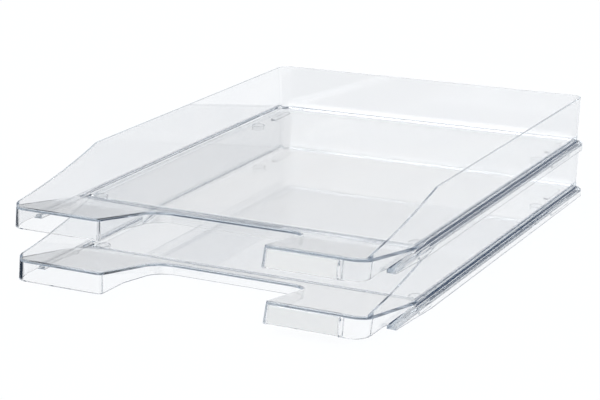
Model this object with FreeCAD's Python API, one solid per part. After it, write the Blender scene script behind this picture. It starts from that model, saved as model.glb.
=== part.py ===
import FreeCAD, Part
import math
import os

# Stack of two clear letter trays with label cards behind clip-in label covers.
# Millimetres. X to the right, Y to the back, Z up; the front of the trays faces -Y.
# Every tray is drawn with its front edge on Y = 0 and its base on Z = 0, and placed at the end.

V = FreeCAD.Vector

# Tray, overall
width = 255.0
depth = 356.0
height = 37.4
wall = 1.4
tab_wall = 2.0
wall_flare = 1.3
plate = 2.2

# Levels above the tray's base
plate_under = 3.1
floor_top = plate_under + plate
rail_top = 6.4
tab_bottom = 6.8
tab_top = 20.2
stop_top = 7.4

# Plan of the tray
rail_reach = 4.7
half_rail = width / 2
half_foot = half_rail - rail_reach
rear_round = 8.0
front_round = 10.0
front_lean = 2.8
tab_width = 65.4
tab_round = 3.4
cut_half = half_foot - tab_width
cut_taper = 1.6
cut_round = 14.0
cut_draft = 1.2

# Side profile of the tray
ramp_foot = 73.0
cove_end = ramp_foot + 10.0
cut_back = ramp_foot - 10.4
under_rise = 24.8
under_end = ramp_foot - 5.0
under_low = 1.6
slope_top = 99.0
slope_mid_y = 52.5
slope_mid_z = 26.7
slope_end_y = 5.0
slope_end_z = 20.1
foot_cove = 4.8
cove_top = floor_top + foot_cove
lip_round = 1.1

# Side rails that sit over the walls of the tray below
rail_front = 33.0
rail_rear = depth - 6.4
rail_skirt = 1.6
rail_front_under = 3.0
skirt_full = cove_end - 1.0
rail_fall = 0.9
rail_edge = 1.8
rail_end_round = 4.4
guide_spans = ((67.0, 84.0), (depth - 69.0, depth - 36.0))
guide_low = 1.3
guide_gap = 0.6
rail_web = 1.0
groove_gap = 0.2
groove_span = (cove_end + 2.0, depth - rear_round - 1.0)

# Round feet under the floor, hollow and open at the bottom, and the short ribs behind the rear pair
foot_spots = ((half_foot - 8.6, cove_end + 4.5), (half_foot - 10.9, depth - 62.0))
foot_r = 5.0
foot_tip_r = 4.6
socket_r = 3.9
rib_x = half_foot - 11.8
rib_width = 3.2
rib_span = (depth - 41.0, depth - 16.0)
rib_low = 1.6

# Label pocket in the front of the right-hand tab
pocket_left = cut_half + 2.4
pocket_right = half_foot - 16.0
pocket_top = 18.2
pocket_depth = 1.75
pocket_wall = 2.0
pocket_side = 10.0
pocket_end = 1.6
card_mouth = 8.0
fit_gap = 0.1
end_gap = 0.2
cover_t = 1.15
card_t = 0.3
tongue_t = 0.7
tongue_gap = 0.2
tongue_reach = 1.4
tongue_low = 8.4
tongue_top = 16.6
tongue_left = pocket_right - pocket_left - end_gap - tongue_t

# The tray above lies loose with the underside of its rails on the wall tops of the tray below
stack_gap = 0.1
pitch = height - plate_under + stack_gap

wall_rise = height - rail_top
lean = front_lean / (tab_top - tab_bottom)
ramp = (tab_top - stop_top) / (ramp_foot - front_lean)

# Limits of the blocks that features are cut from, and how far one feature runs into the next
spare = 20.0
low_z = -6.0
high_z = height + 6.0
side_x = half_rail + spare
out_front = -spare
out_back = depth + spare
root = 1.2
lip_root = lip_round + 0.3


def half_at(z):
    # Half width over the outside of the walls
    return half_foot + wall_flare * (z - rail_top) / wall_rise


def back_at(z):
    # Outside of the back wall
    return depth + wall_flare * (z - height) / wall_rise


def front_at(z):
    # Front faces lean: the bottom edge is the foremost line of the tray
    return lean * (z - tab_bottom)


def ramp_at(y):
    # Top of the tabs, rising from the paper stop to the front edge
    return stop_top + ramp * (ramp_foot - y)


def rounded(corners, z):
    # Closed outline through corners given as (x, y, radius): arc, line, arc, line and so on
    count = len(corners)
    arcs = []
    for i in range(count):
        before = V(corners[i - 1][0], corners[i - 1][1], z)
        here = V(corners[i][0], corners[i][1], z)
        after = V(corners[(i + 1) % count][0], corners[(i + 1) % count][1], z)
        radius = corners[i][2]
        u = (before - here).normalize()
        v = (after - here).normalize()
        half_angle = u.getAngle(v) / 2
        reach = radius / math.tan(half_angle)
        out = (u + v).normalize()
        middle = here + out * (radius / math.sin(half_angle) - radius)
        arcs.append((here + u * reach, middle, here + v * reach))
    edges = []
    for i in range(count):
        start, middle, end = arcs[i]
        edges.append(Part.Arc(start, middle, end).toShape())
        edges.append(Part.makeLine(end, arcs[(i + 1) % count][0]))
    return edges


def drafted(low, high):
    # Solid between two outlines of the same kind: flat sides, ruled corners
    faces = [Part.Face(Part.Wire(low)), Part.Face(Part.Wire(high))]
    for i in range(0, len(low), 2):
        faces.append(Part.makeRuledSurface(low[i], high[i]))
        spots = [low[i + 1].firstVertex().Point, low[i + 1].lastVertex().Point]
        spots += [high[i + 1].lastVertex().Point, high[i + 1].firstVertex().Point]
        faces.append(Part.Face(Part.makePolygon(spots + spots[:1])))
    shell = Part.makeShell(faces)
    shell.sewShape()
    solid = Part.makeSolid(shell)
    if solid.Volume < 0:
        solid.reverse()
        solid = Part.makeSolid(solid.Shells[0])
    return solid


def plan_block(inset, back_limit=None):
    # Plan of the whole tray with its front cut-out, drafted from bottom to top
    outlines = []
    for z in (low_z, high_z):
        side = half_at(z) - inset
        front = front_at(z) + inset
        back = back_at(z) - inset
        if back_limit is not None:
            back = back_limit
        inner = cut_half + cut_draft * (z - tab_top) / (tab_top - tab_bottom) + inset
        notch = cut_back + lean * (z - stop_top) + inset
        small = max(tab_round - inset, 0.5)
        right = [
            (inner, front, small),
            (side, front, front_round - inset),
            (side, back, max(rear_round - inset, 1.0)),
        ]
        left = [(-x, y, r) for x, y, r in reversed(right)]
        notch_right = (inner - cut_taper, notch, cut_round + inset)
        notch_left = (-inner + cut_taper, notch, cut_round + inset)
        outlines.append(rounded(right + left + [notch_left, notch_right], z))
    return drafted(*outlines)


def side_block(edges, reach=side_x):
    # Solid across the whole width from a closed side profile drawn at X = 0
    face = Part.Face(Part.Wire(edges))
    face.translate(V(-reach, 0, 0))
    return face.extrude(V(2 * reach, 0, 0))


def lines(points):
    # Straight edges through (y, z) points
    spots = [V(0, y, z) for y, z in points]
    return [Part.makeLine(a, b) for a, b in zip(spots, spots[1:])]


def box(x0, x1, y0, y1, z0, z1):
    return Part.makeBox(x1 - x0, y1 - y0, z1 - z0, V(x0, y0, z0))


def cove_edge():
    # Hollow curve from the paper stop down to the floor, tangent to the floor
    run = cove_end - ramp_foot
    rise = stop_top - floor_top
    radius = (run * run + rise * rise) / (2 * rise)
    turn = math.asin(run / radius) / 2
    middle = V(0, cove_end - radius * math.sin(turn), floor_top + radius * (1 - math.cos(turn)))
    return Part.Arc(V(0, ramp_foot, stop_top), middle, V(0, cove_end, floor_top)).toShape()


def floor_and_tabs():
    # Ramped tabs with a rounded rim, then the floor plate with its paper stop behind them
    cut_y = cove_end + spare
    deep = under_low - 3.0
    profile = lines([
        (out_front, ramp_at(out_front)),
        (cut_y, ramp_at(cut_y)),
        (cut_y, deep),
        (under_end, deep),
        (under_end, under_low),
        (under_rise, tab_bottom),
        (out_front, tab_bottom),
        (out_front, ramp_at(out_front)),
    ])
    front = plan_block(0.0, cut_y + spare).common(side_block(profile))
    rim = []
    for edge in front.Edges:
        points = [v.Point for v in edge.Vertexes]
        points.append(edge.valueAt((edge.FirstParameter + edge.LastParameter) / 2))
        on_top = all(abs(p.z - ramp_at(p.y)) < 0.02 for p in points)
        if on_top and any(p.y < cut_y - 1.0 for p in points):
            rim.append(edge)
    front = front.makeFillet(lip_round, rim)
    front = front.cut(box(-side_x, side_x, under_end, ramp_foot, low_z, plate_under))
    front = front.cut(box(-side_x, side_x, ramp_foot, cut_y + 1.0, low_z, high_z))
    upper = [cove_edge()]
    upper += lines([
        (cove_end, floor_top),
        (out_back, floor_top),
        (out_back, plate_under),
        (ramp_foot, plate_under),
        (ramp_foot, stop_top),
    ])
    floor = plan_block(0.0).common(side_block(upper))
    return front.fuse(floor)


def wall_ring():
    # Left, back and right walls with a cove along their foot and the long front slope
    high_end = V(0, slope_top, height)
    middle = V(0, slope_mid_y, slope_mid_z)
    slope = Part.Arc(high_end, middle, V(0, slope_end_y, slope_end_z)).toShape()
    ending = lines([
        (slope_end_y, slope_end_z),
        (out_front, slope_end_z),
        (out_front, ramp_at(out_front) - lip_root),
        (ramp_foot, stop_top - lip_root),
        (cove_end, floor_top - root),
        (out_back, floor_top - root),
        (out_back, height),
        (slope_top, height),
    ])
    outside = plan_block(0.0).common(side_block([slope] + ending))
    upright = cove_top + 0.2
    outlines = []
    for z in (upright, high_z):
        side = half_at(z) - wall
        back = back_at(z) - wall
        corner = rear_round - wall
        ahead = 2 * out_front
        corners = [(side, ahead, corner), (side, back, corner), (-side, back, corner), (-side, ahead, corner)]
        outlines.append(rounded(corners, z))
    inside = Part.Face(Part.Wire(outlines[0])).extrude(V(0, 0, floor_top - upright))
    foot_edges = [e for e in inside.Edges if all(abs(v.Z - floor_top) < 0.001 for v in e.Vertexes)]
    inside = inside.makeFillet(foot_cove, foot_edges).fuse(drafted(*outlines))
    return outside.cut(inside)


def tab_hollow():
    # Space under the tabs and the paper stop, open at the bottom
    deep = low_z + 1.0
    profile = lines([
        (out_front, deep),
        (cove_end, deep),
        (cove_end, plate_under),
        (ramp_foot, stop_top - plate),
        (out_front, ramp_at(out_front) - plate),
        (out_front, deep),
    ])
    hollow = plan_block(tab_wall, cove_end + spare).common(side_block(profile))
    return hollow.cut(pocket_prism(0.0, pocket_depth + pocket_wall, -pocket_side, pocket_end, high_z))


def pocket_prism(near, far, left_more, right_more, top, bottom=low_z):
    # Slab that follows the leaning front face, from depth near to depth far behind it
    profile = lines([
        (front_at(bottom) + near, bottom),
        (front_at(bottom) + far, bottom),
        (front_at(top) + far, top),
        (front_at(top) + near, top),
        (front_at(bottom) + near, bottom),
    ])
    face = Part.Face(Part.Wire(profile))
    face.translate(V(pocket_left + left_more, 0, 0))
    return face.extrude(V(pocket_right - pocket_left + right_more - left_more, 0, 0))


def rail():
    # Right-hand rail: ledge beside the wall foot that falls outwards, with a skirt under its outer edge
    inner = half_foot - root
    outline = [
        (inner, 0.0),
        (half_rail, 0.0),
        (half_rail, rail_top - rail_fall),
        (half_foot, rail_top),
        (inner, rail_top),
        (inner, 0.0),
    ]
    face = Part.Face(Part.makePolygon([V(x, rail_front, z) for x, z in outline]))
    bar = face.extrude(V(0, rail_rear - rail_front, 0))
    rear = []
    for edge in bar.Edges:
        if all(v.X > half_rail - 0.001 and v.Y > rail_rear - 0.001 for v in edge.Vertexes):
            rear.append(edge)
    bar = bar.makeFillet(rail_end_round, rear)
    tops = []
    for edge in bar.Edges:
        if all(v.X > half_foot + 0.01 and v.Z > rail_top - rail_fall - 0.001 for v in edge.Vertexes):
            tops.append(edge)
    bar = bar.makeFillet(rail_edge, tops)
    under = lines([
        (out_front, rail_front_under),
        (rail_front, rail_front_under),
        (skirt_full, 0.0),
        (skirt_full, low_z),
        (out_front, low_z),
        (out_front, rail_front_under),
    ])
    bar = bar.cut(side_block(under))
    bar = bar.cut(box(inner - root, half_rail - rail_skirt, 0.0, rail_rear - rail_skirt, low_z, plate_under))
    guide = half_at(height) + guide_gap
    bar = bar.cut(box(inner - root, guide, 0.0, out_back, low_z, plate_under))
    for y0, y1 in guide_spans:
        bar = bar.fuse(box(guide, half_rail - rail_skirt / 2, y0, y1, guide_low, plate_under + root))
    return bar


def cove_groove():
    # Groove between the wall foot and the right-hand rail; the plastic keeps its thickness round the cove
    start, end = groove_span
    middle = half_at(cove_top) - wall - foot_cove
    space = box(middle, half_foot - groove_gap, start, end, low_z, rail_top - rail_web)
    shell = Part.makeCylinder(foot_cove + plate, end - start, V(middle, start, cove_top), V(0, 1, 0))
    return space.cut(shell)


def mirror(shape):
    return shape.mirror(V(0, 0, 0), V(1, 0, 0))


def tray():
    body = floor_and_tabs().fuse(wall_ring())
    body = body.cut(tab_hollow())
    right = rail()
    groove = cove_groove()
    body = body.fuse([right, mirror(right)]).cut([groove, mirror(groove)])
    extras = []
    sockets = []
    sunk = plate_under + root
    for side in (-1, 1):
        for x, y in foot_spots:
            extras.append(Part.makeCone(foot_tip_r, foot_r, sunk, V(side * x, y, 0)))
            sockets.append(Part.makeCylinder(socket_r, plate_under - low_z, V(side * x, y, low_z)))
        left = side * rib_x - rib_width / 2
        extras.append(box(left, left + rib_width, rib_span[0], rib_span[1], rib_low, sunk))
    body = body.fuse(extras).cut(sockets)
    body = body.cut(pocket_prism(out_front, pocket_depth, 0.0, 0.0, pocket_top))
    body = body.cut(pocket_prism(fit_gap + cover_t, pocket_depth, -card_mouth, 0.0, pocket_top))
    deep = pocket_depth + tongue_reach + tongue_gap
    slot_left = tongue_left - tongue_gap
    body = body.cut(pocket_prism(0.0, deep, slot_left, 0.0, tongue_top + tongue_gap, tongue_low - tongue_gap))
    return body.Solids[0]


def label_cover():
    # Clear plate flush with the tab's front; a tongue at its right-hand end goes into the tab
    bottom = tab_bottom + end_gap
    near = fit_gap / 2
    plate_body = pocket_prism(near, near + cover_t, end_gap, -end_gap, pocket_top - end_gap, bottom)
    deep = pocket_depth + tongue_reach
    tongue = pocket_prism(cover_t / 2, deep, tongue_left, -end_gap, tongue_top, tongue_low)
    return plate_body.fuse(tongue).Solids[0]


def label_card():
    # Paper card behind the cover, clear of the cover's tongue
    near = fit_gap / 2 + cover_t + fit_gap
    bottom = tab_bottom + 2 * end_gap
    short = end_gap + tongue_t + 2 * tongue_gap
    return pocket_prism(near, near + card_t, end_gap, -short, pocket_top - 2 * end_gap, bottom)


os.makedirs("parts", exist_ok=True)
pieces = {"tray": tray(), "label_cover": label_cover(), "label_card": label_card()}
for level, name in enumerate(("lower", "upper")):
    for node, shape in pieces.items():
        placed = shape.translated(V(0, -depth / 2, level * pitch))
        placed.exportStep("parts/" + node + "_" + name + ".step")
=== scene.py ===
import math

import bpy
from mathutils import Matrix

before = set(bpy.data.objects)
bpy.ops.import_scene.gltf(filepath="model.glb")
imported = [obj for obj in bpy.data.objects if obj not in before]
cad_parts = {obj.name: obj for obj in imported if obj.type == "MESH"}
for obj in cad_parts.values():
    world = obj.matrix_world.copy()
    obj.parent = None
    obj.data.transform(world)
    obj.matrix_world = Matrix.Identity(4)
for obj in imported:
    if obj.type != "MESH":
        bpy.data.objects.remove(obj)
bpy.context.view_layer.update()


# The two letter trays, the lower one first. Each is a single injection moulding in clear
# polystyrene with polished faces: floor, three walls, ramped tabs, rails and feet in one shot.
# The upper tray lies loose on the wall tops of the lower one.
tray_ripple = 0.00004
cool_tint = (0.968, 0.973, 0.977, 1.0)
pale_tint = (0.982, 0.983, 0.983, 1.0)
straight_tint = (0.965, 0.975, 0.98, 1.0)
edge_tint = (0.33, 0.42, 0.52, 1.0)
leak_start = 9.0
leak_full = 10.0


def reckon(tree, operation, first, second):
    # One sum on two values, each a number or the output of another node
    step = tree.nodes.new("ShaderNodeMath")
    step.operation = operation
    for socket, value in zip(step.inputs, (first, second)):
        if isinstance(value, float):
            socket.default_value = value
        else:
            tree.links.new(value, socket)
    return step.outputs["Value"]


def faded(tree, value, start, end, low=0.0, high=1.0):
    # Runs from low to high while the given value runs from start to end
    ramp = tree.nodes.new("ShaderNodeMapRange")
    for name, number in (("From Min", start), ("From Max", end), ("To Min", low), ("To Max", high)):
        ramp.inputs[name].default_value = number
    tree.links.new(value, ramp.inputs["Value"])
    return ramp.outputs["Result"]


def mottled(tree, scale, detail):
    # Uneven patches that stay fixed to the piece, as values round one half
    place = tree.nodes.new("ShaderNodeTexCoord")
    patches = tree.nodes.new("ShaderNodeTexNoise")
    patches.inputs["Scale"].default_value = scale
    patches.inputs["Detail"].default_value = detail
    tree.links.new(place.outputs["Object"], patches.inputs["Vector"])
    return patches.outputs["Fac"]


def blended(tree, share, first, second):
    # A colour between two, each given as a colour or as the output of another node
    blend = tree.nodes.new("ShaderNodeMix")
    blend.data_type = "RGBA"
    tree.links.new(share, blend.inputs["Factor"])
    for name, colour in (("A", first), ("B", second)):
        if isinstance(colour, tuple):
            blend.inputs[name].default_value = colour
        else:
            tree.links.new(colour, blend.inputs[name])
    return blend.outputs["Result"]


def raised(tree, height, strength, lift):
    # The slope of a face whose highest places are lifted by so many metres
    relief = tree.nodes.new("ShaderNodeBump")
    relief.inputs["Strength"].default_value = strength
    relief.inputs["Distance"].default_value = lift
    tree.links.new(height, relief.inputs["Height"])
    return relief.outputs["Normal"]


def either(tree, share, first, second):
    # The first finish, and by the given share the second one
    mix = tree.nodes.new("ShaderNodeMixShader")
    tree.links.new(share, mix.inputs["Fac"])
    tree.links.new(first, mix.inputs[1])
    tree.links.new(second, mix.inputs[2])
    return mix.outputs["Shader"]


def clear_polystyrene(name, ripple):
    plastic = bpy.data.materials.new(name)
    plastic.use_nodes = True
    tree = plastic.node_tree
    tree.nodes.clear()
    sheet = tree.nodes.new("ShaderNodeBsdfPrincipled")
    sheet.inputs["Transmission Weight"].default_value = 0.993
    sheet.inputs["IOR"].default_value = 1.59

    # Fine rubbing marks from handling change the polish a little
    rubbed = mottled(tree, 60.0, 6.0)
    tree.links.new(faded(tree, rubbed, 0.45, 0.75, 0.012, 0.05), sheet.inputs["Roughness"])

    # The melt leaves slow ripples in the faces, and its tint drifts a little with them
    flow = mottled(tree, 22.0, 2.0)
    tree.links.new(raised(tree, flow, 1.0, ripple), sheet.inputs["Normal"])
    tint = blended(tree, faded(tree, flow, 0.35, 0.65), cool_tint, pale_tint)
    tree.links.new(tint, sheet.inputs["Base Color"])

    # Lamp light and light scattered by paper go straight through the thin sheet, and light that
    # has run along inside it from face to face for long leaks out
    open_way = tree.nodes.new("ShaderNodeBsdfTransparent")
    open_way.inputs["Color"].default_value = straight_tint
    ray = tree.nodes.new("ShaderNodeLightPath")
    straight = reckon(tree, "MAXIMUM", ray.outputs["Is Shadow Ray"], ray.outputs["Is Diffuse Ray"])
    leaking = faded(tree, ray.outputs["Glossy Depth"], leak_start, leak_full)
    open_share = reckon(tree, "MAXIMUM", straight, leaking)

    # Long ways through the plastic, as along its edges, turn blue-grey
    depth_tint = tree.nodes.new("ShaderNodeVolumeAbsorption")
    depth_tint.inputs["Color"].default_value = edge_tint
    depth_tint.inputs["Density"].default_value = 11.0
    out = tree.nodes.new("ShaderNodeOutputMaterial")
    faces = either(tree, open_share, sheet.outputs["BSDF"], open_way.outputs["BSDF"])
    tree.links.new(faces, out.inputs["Surface"])
    tree.links.new(depth_tint.outputs["Volume"], out.inputs["Volume"])
    return plastic


def dress(pieces, finish):
    for piece in pieces:
        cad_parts[piece].data.materials.clear()
        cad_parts[piece].data.materials.append(finish)


dress(("tray_lower", "tray_upper"), clear_polystyrene("tray_polystyrene", tray_ripple))


# The label cards: a strip of white card in a slot behind the cover of each right-hand tab.
# Uncoated stock, cut to size and pushed in from the open left end of the slot.
card_shade = (0.87, 0.845, 0.81, 1.0)
card_white = (0.91, 0.885, 0.85, 1.0)
card_tooth = 0.00005
card_stock = bpy.data.materials.new("label_card_stock")
card_stock.use_nodes = True
tree = card_stock.node_tree
card_face = tree.nodes["Principled BSDF"]
card_face.inputs["Roughness"].default_value = 0.8
fibres = mottled(tree, 900.0, 4.0)
fibre_colour = blended(tree, faded(tree, fibres, 0.3, 0.7), card_shade, card_white)
tree.links.new(fibre_colour, card_face.inputs["Base Color"])
tree.links.new(raised(tree, fibres, 0.4, card_tooth), card_face.inputs["Normal"])
dress(("label_card_lower", "label_card_upper"), card_stock)


# The label covers: a thin clear plate in front of each card, flush with the tab.
# Moulded in the same polystyrene; a tongue at its right-hand end goes into the tab.
cover_ripple = 0.00001
dress(("label_cover_lower", "label_cover_upper"), clear_polystyrene("cover_polystyrene", cover_ripple))


# The studio table: a wide sheet of white board that the stack stands on, with its soft shadow.
# Light turned round a few times inside the plastic finds it a dim blue-grey, painted shade along the
# plastic's edges, and a painted dark disc beside the left front corner, seen by mirrored light alone,
# paints a dark reflection on the upright edge of the tabs there.
table_half = 6.0
table_drop = 0.0002
# The paper's dim blue-grey is what turned light meets: painted shade along the edges of the clear plastic
edge_shade_board_grey = (0.28, 0.33, 0.40, 1.0)
board_glow = 1.16
glow_share = 0.8
# A painted dark disc seen only by mirrored light: a painted dark reflection on the upright tab edges at
# the left front
painted_reflection_black = (0.01, 0.02, 0.035, 1.0)
painted_reflection_middle = (-0.25, -0.15, 0.0)
painted_reflection_radius = 0.13
painted_reflection_blur = 0.02
turned_start = 1.0
turned_full = 2.0
turned_fading = 5.0
turned_end = 8.0


def turned_light(tree):
    # 1 for light that met two to five mirror faces on its way, 0 for light with fewer or far more
    mirrors = tree.nodes.new("ShaderNodeLightPath").outputs["Glossy Depth"]
    turned = faded(tree, mirrors, turned_start, turned_full)
    return reckon(tree, "SUBTRACT", turned, faded(tree, mirrors, turned_fading, turned_end))


board_mesh = bpy.data.meshes.new("white_board")
corners = [(-table_half, -table_half, 0.0), (table_half, -table_half, 0.0)]
corners += [(table_half, table_half, 0.0), (-table_half, table_half, 0.0)]
board_mesh.from_pydata(corners, [], [(0, 1, 2, 3)])
board = bpy.data.objects.new("white_board", board_mesh)
board.location.z = -table_drop
bpy.context.scene.collection.objects.link(board)

white = bpy.data.materials.new("white_board_paint")
white.use_nodes = True
tree = white.node_tree
tree.nodes.clear()
ray = tree.nodes.new("ShaderNodeLightPath")
place = tree.nodes.new("ShaderNodeTexCoord")
# Painted dark reflection: the disc counts only for light that met a mirror face, and there the glow is
# taken away
from_painted_reflection = tree.nodes.new("ShaderNodeVectorMath")
from_painted_reflection.operation = "DISTANCE"
from_painted_reflection.inputs[1].default_value = painted_reflection_middle
tree.links.new(place.outputs["Object"], from_painted_reflection.inputs[0])
on_painted_reflection = faded(tree, from_painted_reflection.outputs["Value"], painted_reflection_radius, painted_reflection_radius + painted_reflection_blur, 1.0, 0.0)
mirrored = reckon(tree, "MINIMUM", ray.outputs["Glossy Depth"], 1.0)
on_painted_reflection = reckon(tree, "MULTIPLY", on_painted_reflection, mirrored)
paper = tree.nodes.new("ShaderNodeBsdfDiffuse")
tree.links.new(blended(tree, on_painted_reflection, edge_shade_board_grey, painted_reflection_black), paper.inputs["Color"])
glow = tree.nodes.new("ShaderNodeEmission")
glow.inputs["Strength"].default_value = board_glow
seen = reckon(tree, "MAXIMUM", ray.outputs["Is Camera Ray"], ray.outputs["Is Glossy Ray"])
seen = reckon(tree, "MAXIMUM", seen, ray.outputs["Is Transmission Ray"])
# Turned light misses the glow and meets the dim blue-grey paper: painted shade along the edges of the
# clear plastic
plain = reckon(tree, "MULTIPLY", seen, reckon(tree, "SUBTRACT", 1.0, turned_light(tree)))
plain = reckon(tree, "MULTIPLY", plain, reckon(tree, "SUBTRACT", 1.0, on_painted_reflection))
glowing = reckon(tree, "MULTIPLY", plain, glow_share)
out = tree.nodes.new("ShaderNodeOutputMaterial")
top_face = either(tree, glowing, paper.outputs["BSDF"], glow.outputs["Emission"])
tree.links.new(top_face, out.inputs["Surface"])
board_mesh.materials.append(white)


# The studio round it: white ceiling, pale front and back, dark sides that draw the edges of the clear
# plastic, a dusk for light that the plastic turned a few times, and one large soft lamp at the left front.
front_grey = (0.9, 0.9, 0.9, 1.0)
back_grey = (0.92, 0.92, 0.92, 1.0)
side_dark = (0.07, 0.09, 0.13, 1.0)
ceiling_white = (1.0, 1.0, 1.0, 1.0)
dusk_blue = (0.02, 0.05, 0.11, 1.0)
lamp_width = math.radians(60.0)
lamp_strength = 1.6
lamp_tilt = (math.radians(40.0), math.radians(-18.0), 0.0)
studio = bpy.data.worlds.new("studio")
bpy.context.scene.world = studio
studio.use_nodes = True
tree = studio.node_tree
tree.nodes.clear()
way = tree.nodes.new("ShaderNodeTexCoord")
parts_of_way = tree.nodes.new("ShaderNodeSeparateXYZ")
tree.links.new(way.outputs["Generated"], parts_of_way.inputs["Vector"])
mirrors = tree.nodes.new("ShaderNodeLightPath").outputs["Glossy Depth"]
not_leaked = faded(tree, mirrors, leak_start - 1.0, leak_start, 1.0, 0.0)
sideways = reckon(tree, "ABSOLUTE", parts_of_way.outputs["X"], 0.0)
sideways = reckon(tree, "MULTIPLY", sideways, not_leaked)
walls = (
    (parts_of_way.outputs["Y"], -0.5, 0.5, back_grey),
    (sideways, 0.45, 0.85, side_dark),
    (parts_of_way.outputs["Z"], 0.35, 0.75, ceiling_white),
    (turned_light(tree), 0.0, 1.0, dusk_blue),
)
room = front_grey
for reach, start, end, colour in walls:
    fade = faded(tree, reach, start, end)
    fade.node.interpolation_type = "SMOOTHSTEP"
    room = blended(tree, fade, room, colour)
dome = tree.nodes.new("ShaderNodeBackground")
tree.links.new(room, dome.inputs["Color"])
out = tree.nodes.new("ShaderNodeOutputWorld")
tree.links.new(dome.outputs["Background"], out.inputs["Surface"])

softbox_data = bpy.data.lights.new("softbox", "SUN")
softbox_data.angle = lamp_width
softbox_data.energy = lamp_strength
softbox = bpy.data.objects.new("softbox", softbox_data)
softbox.rotation_euler = lamp_tilt
bpy.context.scene.collection.objects.link(softbox)


# The camera stands to the front right, a little above the stack, with a long lens. Light may meet
# many faces inside the clear plastic before it is given up.
camera_place = (0.54368, -1.02040, 0.37434)
camera_turn = (math.radians(73.242), math.radians(0.938), math.radians(28.356))
most_faces = 96
camera_data = bpy.data.cameras.new("camera")
camera_data.lens = 107.04
camera_data.sensor_width = 36.0
camera_data.sensor_fit = "HORIZONTAL"
camera_data.clip_start = 0.05
camera_data.clip_end = 50.0
camera = bpy.data.objects.new("camera", camera_data)
camera.location = camera_place
camera.rotation_euler = camera_turn
bpy.context.scene.collection.objects.link(camera)
bpy.context.scene.camera = camera
bpy.context.scene.view_settings.view_transform = "Standard"
light_ways = bpy.context.scene.cycles
light_ways.max_bounces = most_faces
light_ways.transmission_bounces = most_faces
light_ways.glossy_bounces = most_faces
light_ways.transparent_max_bounces = 32
light_ways.caustics_reflective = False
light_ways.caustics_refractive = False
